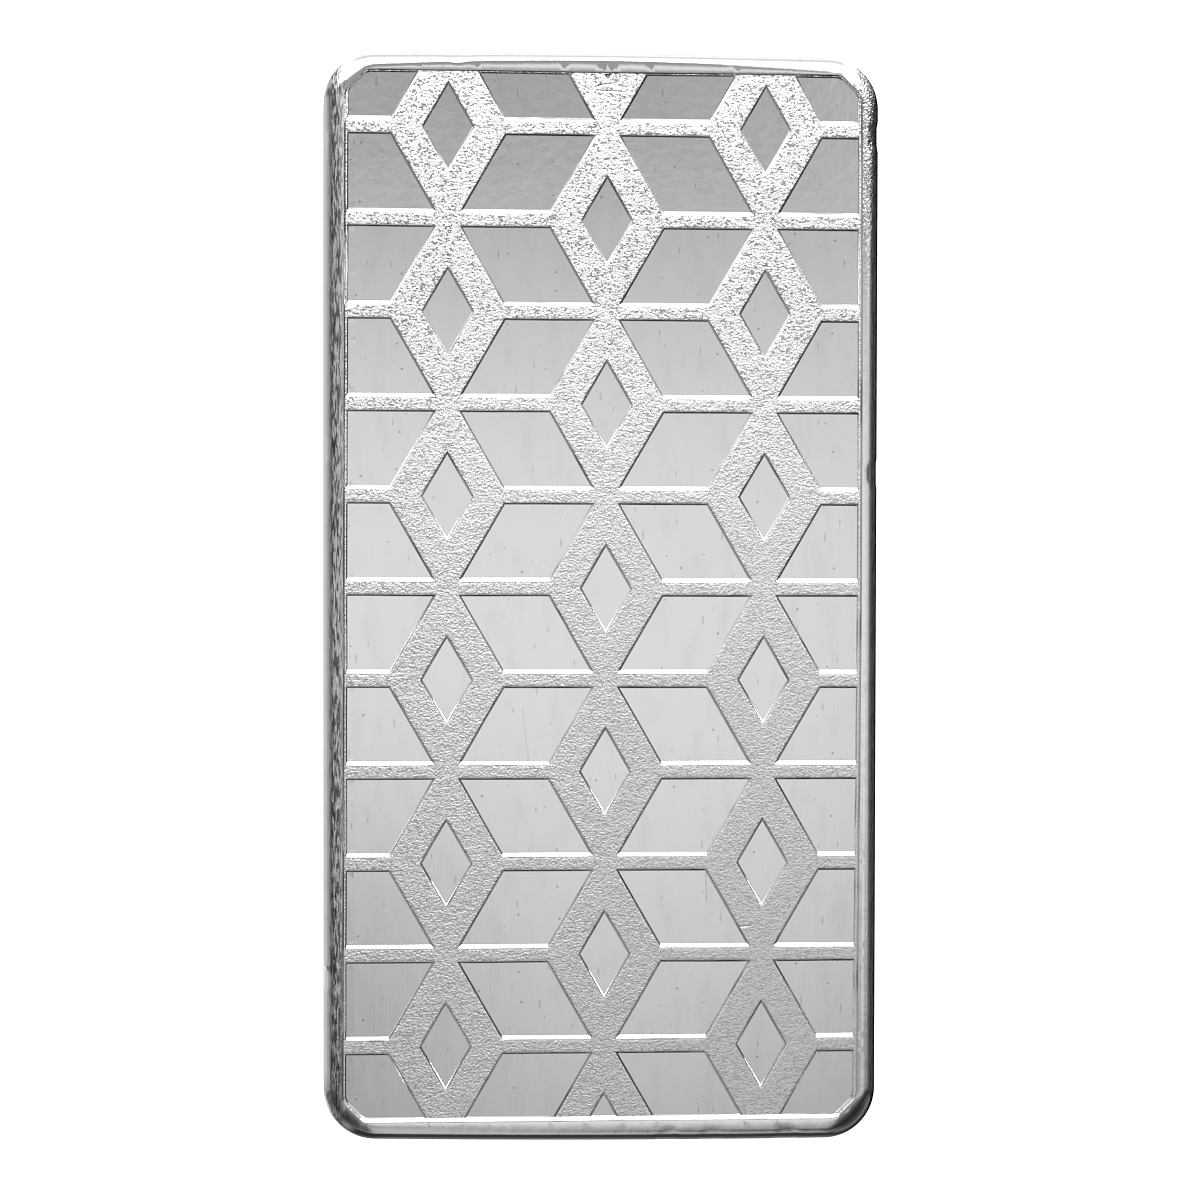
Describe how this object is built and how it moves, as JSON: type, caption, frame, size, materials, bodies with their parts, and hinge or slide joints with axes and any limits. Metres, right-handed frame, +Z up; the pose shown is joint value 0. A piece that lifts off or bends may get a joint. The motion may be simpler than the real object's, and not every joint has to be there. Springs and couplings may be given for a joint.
{
  "type": "metal ingot",
  "caption": "Struck silver bar: a rounded slab with a narrow rim round a recessed field on each broad face, the upper field carrying a sunk tumbling-block pattern.",
  "frame": {"origin": "middle of the underside, on the plane that the lower rim rests on", "axes": "+X across the width, +Y along the length towards the end that is uppermost in the picture, +Z up through the thickness to the patterned face"},
  "size_m": [0.0462, 0.0906, 0.0075],
  "materials": {
    "silver": "satin"
  },
  "bodies": {
    "root": {"ingot": "silver"}
  },
  "joints": []
}
